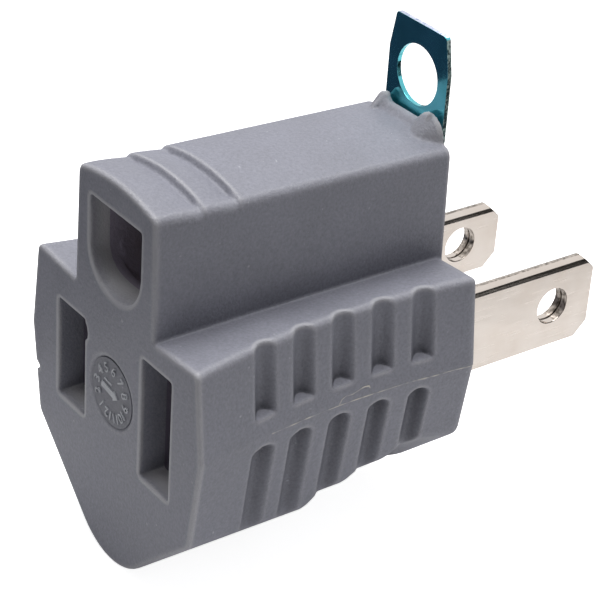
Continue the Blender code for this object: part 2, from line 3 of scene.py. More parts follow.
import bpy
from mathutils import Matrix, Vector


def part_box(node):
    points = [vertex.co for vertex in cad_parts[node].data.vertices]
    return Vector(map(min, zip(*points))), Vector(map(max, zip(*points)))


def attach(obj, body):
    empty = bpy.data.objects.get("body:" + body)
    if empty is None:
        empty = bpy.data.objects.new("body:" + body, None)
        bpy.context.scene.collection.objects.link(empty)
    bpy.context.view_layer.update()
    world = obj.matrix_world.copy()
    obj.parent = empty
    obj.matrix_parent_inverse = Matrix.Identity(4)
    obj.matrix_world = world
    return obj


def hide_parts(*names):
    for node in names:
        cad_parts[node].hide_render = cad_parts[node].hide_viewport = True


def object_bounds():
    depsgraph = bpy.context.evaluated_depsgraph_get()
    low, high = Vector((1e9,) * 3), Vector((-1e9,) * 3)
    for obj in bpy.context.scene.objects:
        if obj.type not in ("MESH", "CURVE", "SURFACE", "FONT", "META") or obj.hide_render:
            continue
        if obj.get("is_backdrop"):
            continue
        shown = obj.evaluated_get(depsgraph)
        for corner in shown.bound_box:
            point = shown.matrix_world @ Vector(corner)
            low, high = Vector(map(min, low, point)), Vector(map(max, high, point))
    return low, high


bl_info = {
    "name": "Grounding Plug Adapter",
    "version": (1, 0, 0),
    "blender": (4, 5, 0),
    "location": "3D View > Sidebar > Plug Adapter",
    "description": "Builds the moulded adapter's fine pieces, their finishes and the studio",
    "category": "Object",
}

import math

import bmesh
import bpy
import numpy as np
from bpy.props import FloatProperty, FloatVectorProperty, IntProperty, PointerProperty
from mathutils import Matrix, Vector, noise
from mathutils.bvhtree import BVHTree

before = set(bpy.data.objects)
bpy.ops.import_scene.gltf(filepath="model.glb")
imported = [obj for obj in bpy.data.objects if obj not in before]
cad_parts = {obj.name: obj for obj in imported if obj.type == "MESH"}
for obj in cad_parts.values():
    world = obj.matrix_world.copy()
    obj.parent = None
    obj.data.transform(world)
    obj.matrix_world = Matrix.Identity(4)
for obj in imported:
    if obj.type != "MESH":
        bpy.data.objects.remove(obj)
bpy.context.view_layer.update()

MM = 0.001


def mm(*rows):
    """Rows of millimetres as rows of metres."""
    return [tuple(MM * value for value in row) for row in rows]


BODY_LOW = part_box("body")[0]
FRONT_Y = BODY_LOW.y
# Farther out than the body's sides and the blades' tips.
CLEAR = 0.02
# Degrees: edges that turn more are rounded, and softened edges that turn less shade smoothly.
BREAK_ANGLE = 30.0
SOFT_ANGLE = 22.0

# Blades: each strip starts inside the body, and its tip's corners lose a chamfer.
BLADE_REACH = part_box("neutral_terminal")[1].y
BLADE_ROOT = -3.6 * MM
BLADE_SPACING = 12.7 * MM
BLADE_THICKNESS = 1.5 * MM
TIP_CHAMFER = 1.3 * MM
FOLD_STEPS = 16
HOLE_RADIUS = 1.68 * MM
HOLE_TO_TIP = 4.4 * MM
HOLE_STEPS = 64

# Tab: its edge break as a share of the blades', and the least reach of its sheared sides.
TAB_BREAK = 0.7
TAB_SIDE = 2.9 * MM

# Where the sockets' insides are painted dark as shade: depth behind the front, reach from the
# middle, height, half height and the painted shade colour.
SHADED_SOCKETS = ((2.4 * MM, 8.6 * MM, 0.0, 6.3 * MM, "#66606f"),
                (1.85 * MM, 4.4 * MM, 12.0 * MM, 4.6 * MM, "#8e8796"))
FUNNEL_DEPTH = 1.4 * MM
# How far the painted highlight turns the housing's outer edges pale; the dial has none.
EDGE_HIGHLIGHT = 0.75
# How far from a wall the painted shade reaches, and how open a place is where it starts to thin and
# where it ends.
SHADE_REACH = 3.0 * MM
SHADE_FADE = (0.6, 0.96)
# Where painted light and shade change: reach of the darkest-shaded sides, the tower's top, the
# horns' depth and height.
SHADED_SIDES = (6.5 * MM, 8.5 * MM)
TOWER_TOP = (16.2 * MM, 17.0 * MM)
HORN_DEPTH = (-4.0 * MM, -2.4 * MM)
HORN_RISE = (16.9 * MM, 17.5 * MM)

# The two horns before the tab: middle, half-width and top of each, the steps up it and the
# points round half of it, its depth at the root and what it loses to the top, both in mm, and
# how blunt it ends; then the boxes that trim the CAD horns' outer sides.
HORN_ROOT = 16.8 * MM
HORN_BACK = -0.12 * MM
HORN_STEPS = 12
HORN_POINTS = 8
HORN_DEEP = 2.5
HORN_SLOPE = 1.85
HORN_BLUNT = 0.27
HORNS = mm((-2.95, 0.56, 19.02), (2.8, 1.35, 19.35))
HORN_TRIMS = (mm((-4.9, -1.7, 17.5), (-3.75, -0.02, 20.0)),
              mm((3.1, -1.9, 17.9), (5.2, -0.02, 20.5)))
# Outlines (X, Z) of the ragged bite in the hot slot's inner edge and of the nick in the front's
# far edge.
SLOT_TEAR = mm((-4.45, 4.35), (-4.06, 4.1), (-3.86, 3.45), (-3.95, 2.9), (-4.08, 2.8), (-4.45, 2.5))
EDGE_NICK = mm((-12.8, -3.0), (-11.6, -3.7), (-11.65, -3.95), (-12.8, -4.6))
BITE_DEPTH = 0.9 * MM

# Dial: its insert lies a little behind the front, and is painted darker than the housing as shade
# for its sunken face.
DIAL_X = -0.1 * MM
DIAL_Z = -0.1 * MM
DIAL_POCKET = 0.2 * MM
DIAL_SINK = 0.06 * MM
DIAL_EDGE = 0.04 * MM
DIAL_SHADE = 0.87
DISC_STEPS = 72
FIRST_NUMBER_TURN = math.radians(9.0 - 5.0 * 30.0)
NUMBER_COUNT = 12
# Outlines in mm of the pointer and of the short bar beside it, from the dial's middle, and how
# deep they are rooted.
ARROW = ((-1.45, -0.26), (0.35, -0.26), (0.35, -0.5), (1.0, 0.0), (0.35, 0.5), (0.35, 0.26),
         (-1.45, 0.26))
BAR = ((-1.2, 0.62), (-0.1, 0.62), (-0.1, 0.78), (-1.2, 0.78))
MARK_ROOT = 0.1 * MM

# Flash: its two ends, the steps between them, the bead's pitch and its sway up and down.
FLASH_START = -20.6 * MM
FLASH_END = -0.3 * MM
FLASH_STEPS = 140
FLASH_PITCH = 0.12 * MM
SWAY = 0.05 * MM
SWAY_LENGTH = 2.4 * MM
# A torn flake beside the parting line: Y and Z of the points along its edge.
FLAKE = mm((-13.7, 0.2), (-13.4, 0.6), (-13.0, 0.75), (-12.4, 0.7), (-11.8, 0.85), (-11.2, 1.0),
           (-10.7, 0.95), (-10.6, 0.75))

# Stage: the floor's half-width, its gap under the body, its whiteness and where lamps aim.
FLOOR_REACH = 1.6
FLOOR_GAP = 0.02 * MM
PAPER_WHITE = 0.88
LAMP_AIM = Vector((0.0, -0.01, 0.0))
# How far the rear face's middle stands right of and below the picture's middle.
MIDDLE_RIGHT = 7.9648 * MM
MIDDLE_DOWN = 0.389 * MM


# Settings

class AdapterHousingSettings(bpy.types.PropertyGroup):
    """Sizes of the moulded housing's finish."""

    voxel: FloatProperty(
        name="Mesh Size", description="Edge length of the housing's fine mesh",
        default=0.12 * MM, min=0.05 * MM, subtype="DISTANCE", unit="LENGTH", precision=6)
    edge_passes: IntProperty(
        name="Edge Softness", description="Rounds of smoothing that soften each moulded edge",
        default=2, min=0, max=12)
    keep: FloatProperty(
        name="Kept Faces", description="Share of the fine mesh's faces that is kept",
        default=0.16, min=0.05, max=1.0, subtype="FACTOR")
    colour: FloatVectorProperty(
        name="Plastic", description="Colour of the grey plastic, as shown on a screen",
        default=(0.48, 0.483, 0.523), size=3, min=0.0, max=1.0, subtype="COLOR_GAMMA")


class AdapterDialSettings(bpy.types.PropertyGroup):
    """Sizes of the month dial between the two slots."""

    radius: FloatProperty(
        name="Dial Radius", description="Radius of the dial's insert",
        default=2.98 * MM, subtype="DISTANCE", unit="LENGTH", precision=6)
    witness: FloatProperty(
        name="Witness Gap", description="Width of the dark line round the insert",
        default=0.17 * MM, subtype="DISTANCE", unit="LENGTH", precision=6)
    relief: FloatProperty(
        name="Relief", description="Height of the numbers and the arrow above the insert",
        default=0.11 * MM, subtype="DISTANCE", unit="LENGTH", precision=6)
    digit_height: FloatProperty(
        name="Digit Height", description="Height of one number on the dial",
        default=1.2 * MM, subtype="DISTANCE", unit="LENGTH", precision=6)
    number_ring: FloatProperty(
        name="Number Ring", description="Distance of the numbers from the dial's middle",
        default=2.1 * MM, subtype="DISTANCE", unit="LENGTH", precision=6)
    month: IntProperty(
        name="Month", description="Number that the arrow points to", default=9, min=1, max=12)


class AdapterFlashSettings(bpy.types.PropertyGroup):
    """Sizes of the thin flash along the mould's parting line."""

    height: FloatProperty(
        name="Parting Height", description="Height of the parting line above the blades' middle",
        default=0.1 * MM, subtype="DISTANCE", unit="LENGTH", precision=6)
    thickness: FloatProperty(
        name="Flash Thickness", description="Greatest thickness of the flash",
        default=0.17 * MM, subtype="DISTANCE", unit="LENGTH", precision=6)
    grain: FloatProperty(
        name="Flash Grain", description="Length over which the flash comes and goes",
        default=1.9 * MM, subtype="DISTANCE", unit="LENGTH", precision=6)
    seed: IntProperty(name="Seed", description="Picks where the flash is torn", default=4)


class AdapterMetalSettings(bpy.types.PropertyGroup):
    """Sizes and colours of the blades and the ground tab."""

    seam: FloatProperty(
        name="Fold Seam", description="Gap between the two layers of a folded blade",
        default=0.12 * MM, subtype="DISTANCE", unit="LENGTH", precision=6)
    burr: FloatProperty(
        name="Edge Break", description="Rounding left on each sheared edge",
        default=0.07 * MM, subtype="DISTANCE", unit="LENGTH", precision=6)
    nickel: FloatVectorProperty(
        name="Nickel", description="Colour of the plated blades, as shown on a screen",
        default=(0.855, 0.82, 0.79), size=3, min=0.0, max=1.0, subtype="COLOR_GAMMA")
    zinc: FloatVectorProperty(
        name="Zinc", description="Colour of the blue-green plated tab, as shown on a screen",
        default=(0.46, 0.82, 0.87), size=3, min=0.0, max=1.0, subtype="COLOR_GAMMA")


class AdapterStageSettings(bpy.types.PropertyGroup):
    """Camera angles and lamp strengths of the studio."""

    azimuth: FloatProperty(
        name="Azimuth", description="Turn of the camera about the adapter from its front",
        default=math.radians(52.503), subtype="ANGLE", unit="ROTATION")
    elevation: FloatProperty(
        name="Elevation", description="Angle of the camera above the horizon",
        default=math.radians(29.801), subtype="ANGLE", unit="ROTATION")
    roll: FloatProperty(
        name="Roll", description="Turn of the camera about its own line of sight",
        default=math.radians(3.982), subtype="ANGLE", unit="ROTATION")
    distance: FloatProperty(
        name="Distance", description="Distance of the camera from the middle of the rear face",
        default=183.103 * MM, subtype="DISTANCE", unit="LENGTH", precision=6)
    lens: FloatProperty(
        name="Lens", description="Focal length of the camera", default=127.4916,
        subtype="DISTANCE_CAMERA", unit="CAMERA")
    overhead: FloatProperty(
        name="Overhead Lamp", description="Power of the large lamp above the adapter",
        default=1.9, subtype="POWER", unit="POWER")
    side: FloatProperty(
        name="Side Lamp", description="Power of the lamp beside the blades",
        default=0.2, subtype="POWER", unit="POWER")
    room: FloatProperty(
        name="Room Light", description="Strength of the light that comes from all round",
        default=0.17, min=0.0)


# Helpers

def linear(colour):
    """sRGB hex text or a screen colour as linear RGBA."""
    if isinstance(colour, str):
        colour = [int(colour[i:i + 2], 16) / 255.0 for i in (1, 3, 5)]
    rgb = [c / 12.92 if c <= 0.04045 else ((c + 0.055) / 1.055) ** 2.4 for c in colour]
    return (*rgb, 1.0)


def fill(tree, node, inputs):
    """Set or link inputs, by name or in order; a node stands for its first output in use.

    A Map Range's order is value, from low, from high, to low, to high.
    """
    for key, value in inputs.items() if isinstance(inputs, dict) else enumerate(inputs):
        if isinstance(value, bpy.types.Node):
            value = next(socket for socket in value.outputs if socket.enabled)
        if isinstance(value, bpy.types.NodeSocket):
            tree.links.new(value, node.inputs[key])
        else:
            node.inputs[key].default_value = value


def add_node(tree, kind, inputs=(), **settings):
    """Add a node, set its properties, then set or link its inputs."""
    node = tree.nodes.new(kind)
    for name, value in settings.items():
        setattr(node, name, value)
    fill(tree, node, inputs)
    return node


def new_material(name):
    """An empty node material with its tree, its shader and its texture coordinates."""
    material = bpy.data.materials.new(name)
    material.use_nodes = True
    tree = material.node_tree
    tree.nodes.clear()
    shader = add_node(tree, "ShaderNodeBsdfPrincipled")
    add_node(tree, "ShaderNodeOutputMaterial", {"Surface": shader})
    return material, tree, shader, add_node(tree, "ShaderNodeTexCoord").outputs


def two_tone(tree, place, scale, detail, span, first, second):
    """A colour that drifts between two tones in a noise's patches, and that noise."""
    patches = add_node(tree, "ShaderNodeTexNoise",
                       {"Vector": place, "Scale": scale, "Detail": detail})
    spread = add_node(tree, "ShaderNodeMapRange", [patches, *span])
    skin = add_node(tree, "ShaderNodeMix",
                    {"Factor": spread, "A": linear(first), "B": linear(second)}, data_type="RGBA")
    return skin, patches


def new_tree(name, inputs):
    """A geometry tree with named inputs of given kinds, and its input sockets."""
    tree = bpy.data.node_groups.new(name, "GeometryNodeTree")
    for label, kind in {"Geometry": "Geometry", **inputs}.items():
        tree.interface.new_socket(label, in_out="INPUT", socket_type="NodeSocket" + kind)
    tree.interface.new_socket("Geometry", in_out="OUTPUT", socket_type="NodeSocketGeometry")
    return tree, add_node(tree, "NodeGroupInput").outputs


def end_tree(tree, geometry, material):
    """End a geometry tree in real mesh of one material."""
    real = add_node(tree, "GeometryNodeRealizeInstances", {"Geometry": geometry})
    skin = add_node(tree, "GeometryNodeSetMaterial", {"Geometry": real, "Material": material})
    add_node(tree, "NodeGroupOutput", {"Geometry": skin})


def run_tree(piece, tree, values):
    """Make a piece's mesh by a geometry tree with these values at its inputs."""
    nodes = piece.modifiers.new(tree.name, "NODES")
    nodes.node_group = tree
    for item in tree.interface.items_tree:
        if item.in_out == "INPUT" and item.name in values:
            nodes[item.identifier] = values[item.name]
    freeze(piece)


def link_object(name, data):
    piece = bpy.data.objects.new(name, data)
    bpy.context.scene.collection.objects.link(piece)
    return piece


def merged_copy(node, name):
    """A copy of a CAD node's mesh with its loose triangles joined."""
    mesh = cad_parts[node].data.copy()
    mesh.materials.clear()
    bm = bmesh.new()
    bm.from_mesh(mesh)
    bmesh.ops.remove_doubles(bm, verts=bm.verts, dist=0.5e-6)
    bm.to_mesh(mesh)
    bm.free()
    return link_object(name, mesh)


def mesh_object(name, build):
    """A mesh object whose shape a function builds in a new bmesh."""
    bm = bmesh.new()
    build(bm)
    bmesh.ops.remove_doubles(bm, verts=bm.verts, dist=0.5e-6)
    bmesh.ops.recalc_face_normals(bm, faces=bm.faces)
    mesh = bpy.data.meshes.new(name)
    bm.to_mesh(mesh)
    bm.free()
    return link_object(name, mesh)


def prism(bm, outline, start, end):
    """Closed solid between two copies of an outline moved by start and end."""
    low = [bm.verts.new(Vector(point) + Vector(start)) for point in outline]
    high = [bm.verts.new(Vector(point) + Vector(end)) for point in outline]
    bm.faces.new(low)
    bm.faces.new(reversed(high))
    count = len(outline)
    for i in range(count):
        j = (i + 1) % count
        bm.faces.new((low[j], low[i], high[i], high[j]))


def freeze(piece):
    """Turn a piece's modifiers into plain mesh."""
    graph = bpy.context.evaluated_depsgraph_get()
    mesh = bpy.data.meshes.new_from_object(piece.evaluated_get(graph), depsgraph=graph)
    piece.modifiers.clear()
    piece.data = mesh


def cut(piece, tool):
    """Take a closed tool out of a piece and discard the tool."""
    boolean = piece.modifiers.new("cut", "BOOLEAN")
    boolean.operation = "DIFFERENCE"
    boolean.solver = "EXACT"
    boolean.object = tool
    freeze(piece)
    bpy.data.objects.remove(tool)


def join(name, pieces):
    """One object from several, which sit at the origin already."""
    bm = bmesh.new()
    materials = []
    for piece in pieces:
        offset = len(bm.faces)
        bm.from_mesh(piece.data)
        bm.faces.ensure_lookup_table()
        slots = []
        for material in piece.data.materials:
            if material not in materials:
                materials.append(material)
            slots.append(materials.index(material))
        for face in bm.faces[offset:]:
            if slots:
                face.material_index = slots[min(face.material_index, len(slots) - 1)]
        bpy.data.objects.remove(piece)
    mesh = bpy.data.meshes.new(name)
    bm.to_mesh(mesh)
    bm.free()
    for material in materials:
        mesh.materials.append(material)
    return link_object(name, mesh)


def smooth_by_angle(piece, degrees):
    """Shade smoothly across every edge flatter than an angle."""
    mesh = piece.data
    mesh.shade_smooth()
    mesh.set_sharp_from_angle(angle=math.radians(degrees))


def read(items, name, width, kind=float):
    """One property of all of a mesh's vertices, corners or faces as an array."""
    values = np.empty(width * len(items), dtype=kind)
    items.foreach_get(name, values)
    return values.reshape(-1, width) if width > 1 else values


def keep_directions(mesh, fine, fine_tree):
    """Shade each corner of a thinned mesh as the fine mesh is shaded just inside that corner."""
    corners = read(mesh.vertices, "co", 3)[read(mesh.loops, "vertex_index", 1, np.int32)]
    counts = read(mesh.polygons, "loop_total", 1, np.int32)
    inner = 0.75 * corners + 0.25 * np.repeat(read(mesh.polygons, "center", 3), counts, axis=0)
    nearest = [fine_tree.find_nearest(point)[2] for point in inner]
    leaning = read(fine.vertices, "normal", 3)[read(fine.loops, "vertex_index", 1, np.int32)]
    ways = np.add.reduceat(leaning, read(fine.polygons, "loop_start", 1, np.int32))[nearest]
    ways /= np.linalg.norm(ways, axis=1, keepdims=True)
    mesh.shade_smooth()
    mesh.normals_split_custom_set(ways)


def soften(piece, width):
    """Round every sharp edge of a piece."""
    bevel = piece.modifiers.new("edge break", "BEVEL")
    bevel.width = width
    bevel.segments = 2
    bevel.limit_method = "ANGLE"
    bevel.angle_limit = math.radians(BREAK_ANGLE)
    bevel.harden_normals = False
    freeze(piece)
    smooth_by_angle(piece, SOFT_ANGLE)


def polygonal(piece):
    """Join a Boolean's triangles back into whole flat faces."""
    bm = bmesh.new()
    bm.from_mesh(piece.data)
    bmesh.ops.remove_doubles(bm, verts=bm.verts, dist=1e-6)
    bmesh.ops.dissolve_limit(bm, angle_limit=math.radians(1.0), verts=bm.verts, edges=bm.edges)
    bm.to_mesh(piece.data)
    bm.free()


# Finishes

def moulded_plastic(name, colour, edge_highlight):
    """Grey flexible PVC from a spark-eroded mould: a dull, fine grain with a few pale flecks, with
    painted shade in hollows and sockets and painted light on edges, sills and horns.
    """
    material, tree, shader, spot = new_material(name)
    # Flow marks: cloudy patches about 5 mm wide, hardly lighter or darker.
    cloud = add_node(tree, "ShaderNodeTexNoise",
                     {"Vector": spot["Object"], "Scale": 200.0, "Detail": 3.0})
    # Eroded grain: the real pits are near 0.05 mm, drawn at 0.2 to 0.4 mm so that they show.
    grain = add_node(tree, "ShaderNodeTexNoise",
                     {"Vector": spot["Object"], "Scale": 3900.0, "Detail": 2.0, "Roughness": 0.7})
    tone = add_node(tree, "ShaderNodeMapRange", [cloud, 0.3, 0.7, 0.94, 1.06])
    fine = add_node(tree, "ShaderNodeMapRange", [grain, 0.3, 0.7, 0.87, 1.13])
    shade = add_node(tree, "ShaderNodeMath", [tone, fine], operation="MULTIPLY")
    tint = add_node(tree, "ShaderNodeMix",
                    {"Factor": 1.0, "A": linear(colour), "B": shade}, data_type="RGBA",
                    blend_type="MULTIPLY")
    # Flecks of dust and torn skin: pale points 0.1 to 0.2 mm wide, a few to each square centimetre.
    fleck = add_node(tree, "ShaderNodeTexNoise",
                     {"Vector": spot["Object"], "Scale": 1900.0, "Detail": 1.0})
    pale = add_node(tree, "ShaderNodeMapRange", [fleck, 0.76, 0.82, 0.0, 0.45])
    skin = add_node(tree, "ShaderNodeMix",
                    {"Factor": pale, "A": tint, "B": linear("#b9bcc4")}, data_type="RGBA")
    # The sockets' boxes: grey skin to the depth of the front wall, then painted shade deeper in.
    axes = add_node(tree, "ShaderNodeSeparateXYZ", {"Vector": spot["Object"]}).outputs
    sideways = add_node(tree, "ShaderNodeMath", [axes["X"]], operation="ABSOLUTE")
    sockets = []
    socket_shades = []
    for depth, reach, middle, half, dark in SHADED_SOCKETS:
        near = add_node(tree, "ShaderNodeMath", [sideways, reach], operation="LESS_THAN")
        level = add_node(tree, "ShaderNodeMath", [axes["Z"], middle, half], operation="COMPARE")
        socket = add_node(tree, "ShaderNodeMath", [near, level], operation="MULTIPLY")
        behind = add_node(tree, "ShaderNodeMath",
                          [axes["Y"], (FRONT_Y + depth - MM) / 2.0, -(FRONT_Y + depth + MM) / 2.0],
                          operation="COMPARE")
        black = add_node(tree, "ShaderNodeMath", [socket, behind], operation="MULTIPLY")
        sockets.append(socket)
        socket_shades.append((black, dark))
    # How far a face turns up: such faces get no painted shade, and they get painted light in the
    # slots.
    upward = add_node(tree, "ShaderNodeSeparateXYZ", {"Vector": spot["Normal"]})
    facing_up = add_node(tree, "ShaderNodeMapRange", [upward.outputs["Z"], 0.3, 0.75])
    # Painted light: the ground socket's funnel and the slots' upward sills are painted paler, more
    # so deeper in, to make up for the light that falls off inside.
    inside = add_node(tree, "ShaderNodeMapRange", [axes["Y"], FRONT_Y, FRONT_Y + FUNNEL_DEPTH])
    funnel = add_node(tree, "ShaderNodeMath", [sockets[1], inside], operation="MULTIPLY")
    sill = add_node(tree, "ShaderNodeMath", [sockets[0], facing_up], operation="MULTIPLY")
    lit_sill = add_node(tree, "ShaderNodeMath", [sill, inside], operation="MULTIPLY")
    pale_walls = add_node(tree, "ShaderNodeMath", [funnel, lit_sill], operation="MAXIMUM")
    # Thin horns let light through, so that their steep fronts look paler than the body.
    back = add_node(tree, "ShaderNodeMapRange", [axes["Y"], *HORN_DEPTH])
    high = add_node(tree, "ShaderNodeMapRange", [axes["Z"], *HORN_RISE])
    horn = add_node(tree, "ShaderNodeMath", [back, high], operation="MULTIPLY")
    steep = add_node(tree, "ShaderNodeMapRange", [upward.outputs["Z"], 0.9, 0.3, 0.0, 0.4])
    thin = add_node(tree, "ShaderNodeMath", [horn, steep], operation="MULTIPLY")
    painted_pale = add_node(tree, "ShaderNodeMath", [pale_walls, thin], operation="MAXIMUM")
    # Painted highlight: pale lines 0.5 mm wide along every outer edge, fading out in hollows.
    hollow = add_node(tree, "ShaderNodeAmbientOcclusion",
                      {"Distance": SHADE_REACH}, only_local=True, samples=8)
    bend = add_node(tree, "ShaderNodeAmbientOcclusion",
                    {"Distance": 0.45 * MM}, inside=True, only_local=True, samples=6)
    edge_light = add_node(tree, "ShaderNodeMapRange", [bend.outputs["AO"], 0.98, 0.84, 0.0, edge_highlight])
    reached = add_node(tree, "ShaderNodeMapRange", [hollow.outputs["AO"], 0.75, 0.95, 0.0, edge_light])
    painted_light = add_node(tree, "ShaderNodeMath", [reached, painted_pale], operation="MAXIMUM")
    lit_skin = add_node(tree, "ShaderNodeMix",
                    {"Factor": painted_light, "A": skin, "B": linear("#adacb0")}, data_type="RGBA")
    # Painted shade lies within 3 mm of a wall, deepest in the side grooves and lighter
    # elsewhere; surfaces that face up get none, as they are lit from above, and neither
    # does the top of the tower.
    top = add_node(tree, "ShaderNodeMapRange", [axes["Z"], *TOWER_TOP])
    unshaded = hollow.outputs["AO"]
    for part in sockets + [facing_up, top]:
        unshaded = add_node(tree, "ShaderNodeMath", [unshaded, part], operation="MAXIMUM")
    darkest_shade = add_node(tree, "ShaderNodeMapRange", [sideways, *SHADED_SIDES, 0.78, 0.3])
    painted_shade = add_node(tree, "ShaderNodeMapRange", [unshaded, *SHADE_FADE, darkest_shade])
    coat = add_node(tree, "ShaderNodeMix",
                    {"Factor": 1.0, "A": lit_skin, "B": painted_shade}, data_type="RGBA", blend_type="MULTIPLY")
    # Painted shade: the sockets' insides behind the front wall take their dark colour.
    for black, dark in socket_shades:
        coat = add_node(tree, "ShaderNodeMix",
                        {"Factor": black, "A": coat, "B": linear(dark)}, data_type="RGBA")
    gloss = add_node(tree, "ShaderNodeMapRange", [cloud, 0.3, 0.7, 0.5, 0.62])
    # Flow waves 0.8 mm apart lie under the grain: the skin isn't dead flat.
    waves = add_node(tree, "ShaderNodeTexNoise",
                     {"Vector": spot["Object"], "Scale": 1250.0, "Detail": 1.0})
    swell = add_node(tree, "ShaderNodeBump",
                     {"Height": waves, "Strength": 0.5, "Distance": 0.06 * MM})
    bump = add_node(tree, "ShaderNodeBump",
                    {"Height": grain, "Strength": 0.9, "Distance": 0.06 * MM, "Normal": swell})
    # Specular is turned down where the painted shade lies.
    shine = add_node(tree, "ShaderNodeMapRange", [unshaded, *SHADE_FADE, 0.05, 0.5])
    fill(tree, shader, {"Base Color": coat, "Roughness": gloss, "Normal": bump, "IOR": 1.52,
                        "Specular IOR Level": shine})
    return material


def lit_relief_plastic():
    """The same PVC on the dial's raised marks, painted pale where their raised edges catch the
    light, and left smooth by the mould's insert.
    """
    material, tree, shader, spot = new_material("grey PVC, raised marks painted pale")
    # The painted light is uneven over about 0.5 mm.
    skin, _ = two_tone(tree, spot["Object"], 1900.0, 2.0, (0.0, 1.0), "#8f9299", "#b6b8be")
    fill(tree, shader, {"Base Color": skin, "Roughness": 0.42})
    return material


def punched_edge():
    """Punched and folded inner faces of the plated strip: oxidised, so darker than its faces."""
    material, tree, shader, spot = new_material("punched brass edge, thinly plated")
    # Burnish lines of the punch: cloudy bands about 0.3 mm wide.
    skin, _ = two_tone(tree, spot["Object"], 3000.0, 2.0, (0.35, 0.65), "#6d655d", "#c4bab1")
    fill(tree, shader, {"Base Color": skin, "Metallic": 1.0, "Roughness": 0.3})
    return material


def nickel_plate(colour):
    """Nickel plate over rolled brass strip: warm, pale, with soft lines along the rolling."""
    material, tree, shader, spot = new_material("nickel plate on rolled brass strip")
    # Rolling lines run along the blade (Y): real ones are finer, drawn 0.15 mm apart.
    stretch = add_node(tree, "ShaderNodeMapping",
                       {"Vector": spot["Object"], "Scale": (1.0, 0.05, 1.0)})
    lines = add_node(tree, "ShaderNodeTexNoise",
                     {"Vector": stretch, "Scale": 6500.0, "Detail": 2.0})
    # Handling marks: faint warm patches 2 to 3 mm wide.
    skin, _ = two_tone(tree, spot["Object"], 380.0, 4.0, (0.35, 0.7, 0.0, 0.35), colour,
                       "#c7b8ab")
    gloss = add_node(tree, "ShaderNodeMapRange", [lines, 0.3, 0.7, 0.26, 0.4])
    # The bending tool burnishes the fold: its round edge mirrors crisply, the flats don't.
    facing = add_node(tree, "ShaderNodeSeparateXYZ", {"Vector": spot["Normal"]})
    fold = add_node(tree, "ShaderNodeMapRange", [facing.outputs["Z"], 0.02, 0.2, 1.0, 0.38])
    polish = add_node(tree, "ShaderNodeMath", [gloss, fold], operation="MULTIPLY")
    bump = add_node(tree, "ShaderNodeBump",
                    {"Height": lines, "Strength": 0.12, "Distance": 0.01 * MM})
    fill(tree, shader, {"Base Color": skin, "Roughness": polish, "Normal": bump, "Metallic": 1.0})
    return material


def zinc_plate(colour):
    """Blue-green passivated zinc on steel sheet: a mirror of the dark and light around."""
    material, tree, shader, spot = new_material("blue-green passivated zinc plate on steel")
    # The passivated film's colour drifts from blue to green over 3 to 4 mm.
    skin, _ = two_tone(tree, spot["Object"], 260.0, 2.0, (0.35, 0.65), colour, "#5fbac4")
    # Sheet steel's rolling haze: very low waves about 0.3 mm apart.
    haze = add_node(tree, "ShaderNodeTexNoise",
                    {"Vector": spot["Object"], "Scale": 3200.0, "Detail": 3.0})
    gloss = add_node(tree, "ShaderNodeMapRange", [haze, 0.3, 0.7, 0.1, 0.17])
    bump = add_node(tree, "ShaderNodeBump",
                    {"Height": haze, "Strength": 0.06, "Distance": 0.01 * MM})
    fill(tree, shader, {"Base Color": skin, "Roughness": gloss, "Normal": bump, "Metallic": 1.0})
    return material


def sheared_edge():
    """Sheared steel edge, thinly plated: torn, dark and pale speckles along the cut."""
    material, tree, shader, spot = new_material("sheared steel edge, thinly plated")
    # Torn grain: speckles 0.2 mm across, the size that the cut shows.
    skin, torn = two_tone(tree, spot["Object"], 3600.0, 3.0, (0.42, 0.6), "#22353a", "#8fa39f")
    bump = add_node(tree, "ShaderNodeBump",
                    {"Height": torn, "Strength": 0.8, "Distance": 0.05 * MM})
    fill(tree, shader, {"Base Color": skin, "Roughness": 0.42, "Normal": bump, "Metallic": 0.9})
    return material


def spring_metal(name, colour, dark, scale):
    """Stamped spring or rivet metal, dulled inside the housing by cloudy tarnish."""
    material, tree, shader, spot = new_material(name)
    # Clouds of tarnish, each about one metre / scale wide: 0.4 to 1.1 mm.
    skin, tarnish = two_tone(tree, spot["Object"], scale, 4.0, (0.35, 0.65), colour, dark)
    gloss = add_node(tree, "ShaderNodeMapRange", [tarnish, 0.0, 1.0, 0.3, 0.5])
    fill(tree, shader, {"Base Color": skin, "Roughness": gloss, "Metallic": 1.0})
    return material


def torn_flash():
    """Skin of the same PVC squeezed into the mould's joint: thin, so it is paler than the body."""
    material, tree, shader, spot = new_material("grey PVC flash, torn thin")
    # Thicker and thinner patches about 1 mm wide.
    skin, _ = two_tone(tree, spot["Object"], 900.0, 2.0, (0.4, 0.65), "#85878d", "#cdc6bd")
    fill(tree, shader, {"Base Color": skin, "Roughness": 0.5})
    return material


# Pieces

def disc(radius, front, back):
    """Builder of a short cylinder about the dial's axis."""
    def build(bm):
        turns = [math.tau * i / DISC_STEPS for i in range(DISC_STEPS)]
        ring = [(DIAL_X + radius * math.cos(turn), 0.0, DIAL_Z + radius * math.sin(turn))
                for turn in turns]
        prism(bm, ring, (0.0, front, 0.0), (0.0, back, 0.0))
    return build


